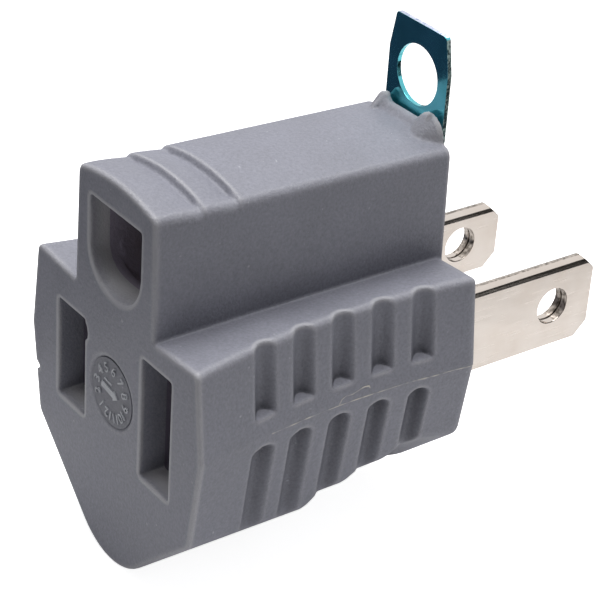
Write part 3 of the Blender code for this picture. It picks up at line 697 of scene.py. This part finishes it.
class ADAPTER_OT_housing(bpy.types.Operator):
    """Make the housing's fine, soft-edged moulding from the CAD body"""

    bl_idname = "adapter.housing"
    bl_label = "Moulded Housing"

    def horn(self, middle, half, top):
        """Builder of a half-round horn that stands against the tab and slopes to the front."""
        def build(bm):
            rings = []
            # It narrows and thins upwards, and its upper half rounds over.
            for level in range(HORN_STEPS + 1):
                t = level / HORN_STEPS
                swell = math.sqrt(1.0 - max(t - 0.5, 0.0) ** 2 / HORN_BLUNT)
                wide = half * (1.5 - 0.5 * t) * swell
                deep = (HORN_DEEP - HORN_SLOPE * t) * MM * swell
                z = HORN_ROOT + (top - HORN_ROOT) * t
                spread = [i / HORN_POINTS for i in range(HORN_POINTS, -HORN_POINTS - 1, -1)]
                ring = [(middle + wide * u, HORN_BACK - deep * (1.0 - u ** 2), z) for u in spread]
                rings.append([bm.verts.new(point) for point in ring])
            bm.faces.new(rings[0])
            bm.faces.new(rings[-1])
            count = len(rings[0])
            for low, high in zip(rings, rings[1:]):
                for i in range(count):
                    j = (i + 1) % count
                    bm.faces.new((low[i], low[j], high[j], high[i]))
        return build

    def execute(self, context):
        sizes = context.scene.adapter_housing
        dial = context.scene.adapter_dial
        housing = merged_copy("body", "moulded_housing")
        pocket = disc(dial.radius + dial.witness, FRONT_Y - MM, FRONT_Y + DIAL_POCKET)
        cut(housing, mesh_object("dial_pocket", pocket))

        def trim(bm):
            for low, high in HORN_TRIMS:
                prism(bm, [(low[0], low[1], 0.0), (high[0], low[1], 0.0),
                           (high[0], high[1], 0.0), (low[0], high[1], 0.0)],
                      (0.0, 0.0, low[2]), (0.0, 0.0, high[2]))
        cut(housing, mesh_object("horn_trim", trim))

        def bite(bm):
            for outline in (SLOT_TEAR, EDGE_NICK):
                prism(bm, [(x, 0.0, z) for x, z in outline],
                      (0.0, FRONT_Y - MM, 0.0), (0.0, FRONT_Y + BITE_DEPTH, 0.0))
        cut(housing, mesh_object("bites", bite))
        horns = [mesh_object("horn", self.horn(*horn)) for horn in HORNS]
        housing = join("moulded_housing", [housing] + horns)

        remesh = housing.modifiers.new("fine mesh", "REMESH")
        remesh.mode = "VOXEL"
        remesh.voxel_size = sizes.voxel
        smooth = housing.modifiers.new("soft edges", "SMOOTH")
        smooth.factor = 0.5
        smooth.iterations = sizes.edge_passes
        freeze(housing)
        fine = housing.data
        fine_tree = BVHTree.FromObject(housing, context.evaluated_depsgraph_get())
        thin = housing.modifiers.new("fewer faces", "DECIMATE")
        thin.ratio = sizes.keep
        freeze(housing)
        keep_directions(housing.data, fine, fine_tree)

        housing.data.materials.clear()
        housing.data.materials.append(
            moulded_plastic("grey PVC, injection moulded, eroded grain", sizes.colour, EDGE_HIGHLIGHT))
        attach(housing, "root")
        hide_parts("body")
        return {"FINISHED"}


class ADAPTER_OT_dial(bpy.types.Operator):
    """Make the month dial: its insert, numbers and arrow"""

    bl_idname = "adapter.dial"
    bl_label = "Month Dial"

    def numbers_tree(self, material):
        """Geometry Nodes that set the numbers round a ring, each with its head outwards."""
        tree, given = new_tree("dial numbers", {
            "Count": "Int", "Ring Radius": "Float", "Digit Height": "Float", "Relief": "Float",
            "First Turn": "Float"})
        start = add_node(tree, "GeometryNodeRepeatInput")
        end = add_node(tree, "GeometryNodeRepeatOutput")
        start.pair_with_output(end)
        end.repeat_items.clear()
        end.repeat_items.new("GEOMETRY", "Numbers")
        end.repeat_items.new("INT", "Number")
        fill(tree, start, {"Iterations": given["Count"], "Number": 1})
        number = start.outputs["Number"]
        text = add_node(tree, "FunctionNodeValueToString", {"Value": number}, data_type="INT")
        line = add_node(tree, "GeometryNodeStringToCurves",
                        {"String": text, "Size": given["Digit Height"], "Character Spacing": 0.92},
                        align_x="CENTER", align_y="MIDDLE")
        loose = add_node(tree, "GeometryNodeRealizeInstances", {"Geometry": line})
        filled = add_node(tree, "GeometryNodeFillCurve", {"Curve": loose}, mode="NGONS")
        raised = add_node(tree, "GeometryNodeExtrudeMesh",
                          {"Mesh": filled, "Offset Scale": given["Relief"], "Individual": False})
        both = add_node(tree, "GeometryNodeJoinGeometry", {"Geometry": raised})
        back = add_node(tree, "GeometryNodeFlipFaces", {"Mesh": filled})
        fill(tree, both, {"Geometry": back})
        welded = add_node(tree, "GeometryNodeMergeByDistance", {"Geometry": both, "Distance": 1e-6})
        upright = add_node(tree, "GeometryNodeTransform",
                           {"Geometry": welded, "Rotation": (math.pi / 2.0, 0.0, 0.0)})
        lift = add_node(tree, "ShaderNodeCombineXYZ", {"Z": given["Ring Radius"]})
        outward = add_node(tree, "GeometryNodeTransform",
                           {"Geometry": upright, "Translation": lift})
        order = add_node(tree, "ShaderNodeMath", [number, 1.0], operation="SUBTRACT")
        step = add_node(tree, "ShaderNodeMath", [math.tau, given["Count"]], operation="DIVIDE")
        turn = add_node(tree, "ShaderNodeMath",
                        [order, step, given["First Turn"]], operation="MULTIPLY_ADD")
        spin = add_node(tree, "ShaderNodeCombineXYZ", {"Y": turn})
        placed = add_node(tree, "GeometryNodeTransform", {"Geometry": outward, "Rotation": spin})
        gathered = add_node(tree, "GeometryNodeJoinGeometry", {"Geometry": placed})
        fill(tree, gathered, {"Geometry": start.outputs["Numbers"]})
        after = add_node(tree, "ShaderNodeMath", [number, 1.0], operation="ADD")
        fill(tree, end, {"Numbers": gathered, "Number": after})
        end_tree(tree, end.outputs["Numbers"], material)
        return tree

    def execute(self, context):
        sizes = context.scene.adapter_dial
        # Painted shade: the insert takes the housing's colour, darkened for its sunken face.
        colour = [DIAL_SHADE * part for part in context.scene.adapter_housing.colour]
        plastic = moulded_plastic("grey PVC, moulded against a dial insert", colour, 0.0)
        relief = lit_relief_plastic()
        front = FRONT_Y + DIAL_SINK

        numbers = link_object("numbers", bpy.data.meshes.new("numbers"))
        run_tree(numbers, self.numbers_tree(relief), {
            "Count": NUMBER_COUNT, "Ring Radius": sizes.number_ring,
            "Digit Height": sizes.digit_height, "Relief": sizes.relief,
            "First Turn": FIRST_NUMBER_TURN})
        numbers.data.transform(Matrix.Translation((DIAL_X, front, DIAL_Z)))

        insert = mesh_object("insert", disc(sizes.radius, front, FRONT_Y + 2.0 * DIAL_POCKET))
        turn = FIRST_NUMBER_TURN + (sizes.month - 1) * math.tau / NUMBER_COUNT
        across = math.cos(math.pi / 2.0 - turn)
        along = math.sin(math.pi / 2.0 - turn)

        def mark(outline, height):
            """Builder of a raised mark, turned to the month."""
            def build(bm):
                points = [(DIAL_X + MM * (x * across - y * along), 0.0,
                           DIAL_Z + MM * (x * along + y * across)) for x, y in outline]
                prism(bm, points, (0.0, front - height, 0.0), (0.0, front + MARK_ROOT, 0.0))
            return build

        pointer = join("pointer", [mesh_object("arrow", mark(ARROW, sizes.relief)),
                                   mesh_object("bar", mark(BAR, 0.6 * sizes.relief))])
        for piece, material in ((insert, plastic), (pointer, relief)):
            piece.data.materials.append(material)
            soften(piece, DIAL_EDGE)
        dial = join("month_dial", [insert, pointer, numbers])
        smooth_by_angle(dial, SOFT_ANGLE)
        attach(dial, "root")
        return {"FINISHED"}


class ADAPTER_OT_flash(bpy.types.Operator):
    """Make the thin, torn flash along the mould's parting line on both sides"""

    bl_idname = "adapter.flash"
    bl_label = "Parting Line Flash"

    def flash_tree(self, material):
        """Geometry Nodes that run a thin bead of changing thickness along a path."""
        tree, given = new_tree("parting line flash",
                               {"Thickness": "Float", "Grain": "Float", "Seed": "Int"})
        path = add_node(tree, "GeometryNodeMeshToCurve", {"Mesh": given["Geometry"]})
        points = add_node(tree, "GeometryNodeResampleCurve",
                          {"Curve": path, "Length": FLASH_PITCH}, mode="LENGTH")
        scale = add_node(tree, "ShaderNodeMath", [1.0, given["Grain"]], operation="DIVIDE")
        tear = add_node(tree, "ShaderNodeTexNoise",
                        {"W": given["Seed"], "Scale": scale, "Detail": 3.0, "Roughness": 0.7},
                        noise_dimensions="4D")
        share = add_node(tree, "ShaderNodeMapRange", [tear, 0.36, 0.72, 0.12])
        radius = add_node(tree, "ShaderNodeMath", [share, given["Thickness"]], operation="MULTIPLY")
        profile = add_node(tree, "GeometryNodeCurvePrimitiveCircle",
                           {"Resolution": 8, "Radius": 0.5})
        bead = add_node(tree, "GeometryNodeCurveToMesh",
                        {"Curve": points, "Profile Curve": profile, "Scale": radius,
                         "Fill Caps": True})
        end_tree(tree, bead, material)
        return tree

    def execute(self, context):
        sizes = context.scene.adapter_flash
        tree = self.flash_tree(torn_flash())
        housing = BVHTree.FromObject(bpy.data.objects["moulded_housing"],
                                     context.evaluated_depsgraph_get())
        for side, name in ((1.0, "neutral_side_flash"), (-1.0, "hot_side_flash")):
            spots = []
            for i in range(FLASH_STEPS + 1):
                y = FLASH_START + (FLASH_END - FLASH_START) * i / FLASH_STEPS
                sway = noise.noise(Vector((y / SWAY_LENGTH, side, 0.5)))
                spots.append((y, sizes.height + SWAY * sway))
            spots += FLAKE if side > 0.0 else []
            points = []
            for y, z in spots:
                hit = housing.ray_cast(Vector((side * CLEAR, y, z)), Vector((-side, 0.0, 0.0)))
                if hit[0] is None:
                    raise RuntimeError("the parting line misses the housing")
                points.append(hit[0])
            mesh = bpy.data.meshes.new(name)
            links = [(i, i + 1) for i in range(len(points) - 1) if i != FLASH_STEPS]
            mesh.from_pydata(points, links, [])
            flash = link_object(name, mesh)
            run_tree(flash, tree, {"Thickness": sizes.thickness, "Grain": sizes.grain,
                                   "Seed": sizes.seed + int(side)})
            flash.data.shade_smooth()
            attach(flash, "root")
        return {"FINISHED"}


class ADAPTER_OT_blades(bpy.types.Operator):
    """Fold the two blades from strip, with their seam, holes and chamfered tips"""

    bl_idname = "adapter.blades"
    bl_label = "Folded Blades"

    def execute(self, context):
        sizes = context.scene.adapter_metal
        nickel = nickel_plate(sizes.nickel)
        edge = punched_edge()
        for side, node in ((-1.0, "hot_terminal"), (1.0, "neutral_terminal")):
            middle = side * BLADE_SPACING / 2.0
            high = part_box(node)[1].z
            half = BLADE_THICKNESS / 2.0
            gap = sizes.seam / 2.0

            def strip(bm):
                outline = [(-half, -high), (-half, high - 1.4 * half), (-half, high - half)]
                outline += [(-half * math.cos(math.pi * i / FOLD_STEPS),
                             high - half + half * math.sin(math.pi * i / FOLD_STEPS))
                            for i in range(1, FOLD_STEPS)]
                outline += [(half, high - half), (half, high - 1.4 * half), (half, -high),
                            (gap, -high), (gap, high - half), (-gap, high - half), (-gap, -high)]
                points = [(middle + x, 0.0, z) for x, z in outline]
                prism(bm, points, (0.0, BLADE_ROOT, 0.0), (0.0, BLADE_REACH, 0.0))

            blade = mesh_object("blade", strip)
            for sign in (-1.0, 1.0):
                def corner(bm):
                    points = [(0.0, BLADE_REACH + y, sign * (high + z)) for y, z in
                              ((-TIP_CHAMFER, 0.0), (0.0, -TIP_CHAMFER), (MM, -TIP_CHAMFER),
                               (MM, MM), (-TIP_CHAMFER, MM))]
                    prism(bm, points, (middle - MM, 0.0, 0.0), (middle + MM, 0.0, 0.0))
                cut(blade, mesh_object("corner", corner))

            def drill(bm):
                turns = [math.tau * i / HOLE_STEPS for i in range(HOLE_STEPS)]
                ring = [(0.0, BLADE_REACH - HOLE_TO_TIP + HOLE_RADIUS * math.cos(turn),
                         HOLE_RADIUS * math.sin(turn)) for turn in turns]
                prism(bm, ring, (middle - MM, 0.0, 0.0), (middle + MM, 0.0, 0.0))
            cut(blade, mesh_object("drill", drill))
            polygonal(blade)
            soften(blade, sizes.burr)

            fork = merged_copy(node, "fork")

            def outer(bm):
                low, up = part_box(node)
                corners = [(low.x - MM, 0.0, low.z - MM), (up.x + MM, 0.0, low.z - MM),
                           (up.x + MM, 0.0, up.z + MM), (low.x - MM, 0.0, up.z + MM)]
                prism(bm, corners, (0.0, BLADE_ROOT + 0.1 * MM, 0.0), (0.0, CLEAR, 0.0))
            cut(fork, mesh_object("outer", outer))
            smooth_by_angle(fork, BREAK_ANGLE)

            for piece in (blade, fork):
                piece.data.materials.clear()
                piece.data.materials.append(nickel)
            blade.data.materials.append(edge)
            for face in blade.data.polygons:
                sheared = abs(face.normal.x) < 0.5 and abs(face.normal.y) > 0.3
                if sheared or abs(face.center.x - middle) < 2.0 * gap:
                    face.material_index = 1
            name = "hot_blade" if side < 0.0 else "neutral_blade"
            terminal = join(name, [blade, fork])
            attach(terminal, "root")
            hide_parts(node)
        return {"FINISHED"}


class ADAPTER_OT_tab(bpy.types.Operator):
    """Make the ground tab with its rolled-over front edges and torn sheared sides"""

    bl_idname = "adapter.tab"
    bl_label = "Ground Tab"

    def execute(self, context):
        sizes = context.scene.adapter_metal
        tab = merged_copy("ground_tab", "plated_ground_tab")
        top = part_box("ground_tab")[1].z
        polygonal(tab)
        soften(tab, sizes.burr * TAB_BREAK)
        tab.data.materials.clear()
        tab.data.materials.append(zinc_plate(sizes.zinc))
        tab.data.materials.append(sheared_edge())
        tab.data.materials.append(
            spring_metal("sheared zinc edge, burnished", "#dadced", "#8b97b3", 2500.0))
        # The sheared sides are torn, and the sheared top edge is burnished.
        for face in tab.data.polygons:
            if abs(face.normal.x) > 0.9 and abs(face.center.x) > TAB_SIDE:
                face.material_index = 1
            elif face.normal.z > 0.9 and face.center.z > top - 0.1 * MM:
                face.material_index = 2
        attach(tab, "root")
        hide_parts("ground_tab")
        return {"FINISHED"}


class ADAPTER_OT_contacts(bpy.types.Operator):
    """Give the ground contact and its rivet their metal finishes"""

    bl_idname = "adapter.contacts"
    bl_label = "Inner Contacts"

    def execute(self, context):
        bronze = spring_metal("spring bronze, stamped and tarnished", "#8a6a48", "#4d3b2a", 900.0)
        steel = spring_metal("bright steel rivet, headed", "#a9a9a8", "#77756f", 1500.0)
        for node, material in (("ground_contact", bronze), ("ground_rivet", steel)):
            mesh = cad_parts[node].data
            if not mesh.materials:
                mesh.materials.append(material)
            for i in range(len(mesh.materials)):
                mesh.materials[i] = material
        return {"FINISHED"}


class ADAPTER_OT_stage(bpy.types.Operator):
    """Set the floor, the lamps, the room light and the camera"""

    bl_idname = "adapter.stage"
    bl_label = "Studio"

    def felt(self, name, colour):
        """Dull felt of one colour, for the flags."""
        material, tree, shader, _ = new_material(name)
        fill(tree, shader, {"Base Color": linear(colour), "Roughness": 1.0})
        return material

    def seen(self, tree):
        """A ray's kinds, and 1 for a point that the camera sees straight or through glass."""
        path = add_node(tree, "ShaderNodeLightPath").outputs
        kinds = [path["Is Camera Ray"], path["Is Transmission Ray"]]
        return path, add_node(tree, "ShaderNodeMath", kinds, operation="MAXIMUM")

    def flat_card(self, name, corners, material):
        """A flat piece of the stage."""
        mesh = bpy.data.meshes.new(name)
        mesh.from_pydata(corners, [], [tuple(range(len(corners)))])
        mesh.materials.append(material)
        card = link_object(name, mesh)
        card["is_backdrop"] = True
        return card

    def lamp(self, name, power, size, place):
        """A round lamp that the camera can't see, turned to the adapter."""
        light = bpy.data.lights.new(name, "AREA")
        light.energy = power
        light.shape = "DISK"
        light.size = size
        lamp = link_object(name, light)
        lamp.location = place
        lamp.rotation_euler = (LAMP_AIM - Vector(place)).to_track_quat("-Z", "Y").to_euler()
        lamp.visible_camera = False

    def execute(self, context):
        sizes = context.scene.adapter_stage
        scene = context.scene
        scene.view_settings.view_transform = "Standard"

        world = bpy.data.worlds.new("studio room")
        scene.world = world
        world.use_nodes = True
        tree = world.node_tree
        tree.nodes.clear()
        path, seen = self.seen(tree)
        shown = add_node(tree, "ShaderNodeMath", [seen, path["Is Glossy Ray"]], operation="MAXIMUM")
        room = add_node(tree, "ShaderNodeBackground",
                        {"Color": linear("#ffffff"), "Strength": sizes.room})
        white = add_node(tree, "ShaderNodeBackground",
                         {"Color": linear("#ffffff"), "Strength": 1.0})
        mix = add_node(tree, "ShaderNodeMixShader", [shown, room, white])
        add_node(tree, "ShaderNodeOutputWorld", {"Surface": mix})

        floor_z = min(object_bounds()[0].z, BODY_LOW.z) - FLOOR_GAP
        paper, tree, shader, spot = new_material("white paper floor")
        tree.nodes.remove(shader)
        _, seen = self.seen(tree)
        level = add_node(tree, "ShaderNodeMath", [seen, PAPER_WHITE], operation="MULTIPLY")
        # Grey card lies beyond the paper that the picture shows, so little light comes from afar.
        reach = add_node(tree, "ShaderNodeVectorMath", [spot["Object"]], operation="LENGTH")
        grey = add_node(tree, "ShaderNodeMapRange", [reach, 0.05, 0.12, PAPER_WHITE, 0.3])
        matt = add_node(tree, "ShaderNodeBsdfDiffuse", {"Color": grey})
        glow = add_node(tree, "ShaderNodeEmission", {"Color": linear("#ffffff"), "Strength": level})
        both = add_node(tree, "ShaderNodeAddShader", [matt, glow])
        fill(tree, tree.nodes["Material Output"], {"Surface": both})
        corners = [(x * FLOOR_REACH, y * FLOOR_REACH, floor_z)
                   for x, y in ((-1, -1), (1, -1), (1, 1), (-1, 1))]
        self.flat_card("floor", corners, paper)

        # Dark flags that only reflections see: they shape the tab's dark mirror and the
        # dark line along the blades' folds, as cards beside the object do in a studio.
        low = floor_z + MM
        high = floor_z + 4.0 * MM
        flags = (
            ("left_flag", self.felt("dark blue felt flag", "#04132a"),
             [(-0.030, -0.080, low), (-0.030, 0.010, low), (-0.110, 0.010, high),
              (-0.110, -0.120, high)]),
            ("fold_flag", self.felt("black felt flag", "#100f0e"),
             [(0.078, -0.010, floor_z), (0.030, 0.080, floor_z), (0.030, 0.080, 0.040),
              (0.078, -0.010, 0.040)]))
        for name, felt, corners in flags:
            flag = self.flat_card(name, corners, felt)
            for rays in ("camera", "diffuse", "shadow", "transmission"):
                setattr(flag, "visible_" + rays, False)

        self.lamp("overhead_lamp", sizes.overhead, 0.30, (-0.05, 0.02, 0.36))
        self.lamp("side_lamp", sizes.side, 0.16, (0.30, 0.22, 0.03))

        turn = sizes.azimuth
        tilt = sizes.elevation
        back = Vector((math.sin(turn) * math.cos(tilt), -math.cos(turn) * math.cos(tilt),
                       math.sin(tilt)))
        level_right = Vector((math.cos(turn), math.sin(turn), 0.0))
        level_up = back.cross(level_right)
        right = math.cos(sizes.roll) * level_right + math.sin(sizes.roll) * level_up
        up = math.cos(sizes.roll) * level_up - math.sin(sizes.roll) * level_right
        place = sizes.distance * back - MIDDLE_RIGHT * right + MIDDLE_DOWN * up
        camera_data = bpy.data.cameras.new("camera")
        camera_data.sensor_width = 36.0
        camera_data.lens = sizes.lens
        camera_data.clip_start = 1.0 * MM
        camera = link_object("camera", camera_data)
        camera.matrix_world = Matrix.Translation(place) @ Matrix(
            (right, up, back)).transposed().to_4x4()
        scene.camera = camera
        return {"FINISHED"}


OPERATORS = (ADAPTER_OT_housing, ADAPTER_OT_dial, ADAPTER_OT_flash, ADAPTER_OT_blades,
             ADAPTER_OT_tab, ADAPTER_OT_contacts, ADAPTER_OT_stage)
SETTINGS = {"adapter_housing": AdapterHousingSettings, "adapter_dial": AdapterDialSettings,
            "adapter_flash": AdapterFlashSettings, "adapter_metal": AdapterMetalSettings,
            "adapter_stage": AdapterStageSettings}


class ADAPTER_PT_sidebar(bpy.types.Panel):
    """Lists the adapter's pieces and their settings"""

    bl_idname = "ADAPTER_PT_sidebar"
    bl_label = "Grounding Plug Adapter"
    bl_space_type = "VIEW_3D"
    bl_region_type = "UI"
    bl_category = "Plug Adapter"

    def draw(self, context):
        for name, group in SETTINGS.items():
            box = self.layout.box()
            for setting in group.__annotations__:
                box.prop(getattr(context.scene, name), setting)
        column = self.layout.column(align=True)
        for operator in OPERATORS:
            column.operator(operator.bl_idname)


CLASSES = (*SETTINGS.values(), *OPERATORS, ADAPTER_PT_sidebar)


def register():
    for cls in CLASSES:
        bpy.utils.register_class(cls)
    for name, group in SETTINGS.items():
        setattr(bpy.types.Scene, name, PointerProperty(type=group))


def unregister():
    for name in SETTINGS:
        delattr(bpy.types.Scene, name)
    for cls in reversed(CLASSES):
        bpy.utils.unregister_class(cls)


def main():
    register()
    bpy.ops.adapter.housing()
    bpy.ops.adapter.dial()
    bpy.ops.adapter.flash()
    bpy.ops.adapter.blades()
    bpy.ops.adapter.tab()
    bpy.ops.adapter.contacts()
    bpy.ops.adapter.stage()


if __name__ == "__main__":
    main()
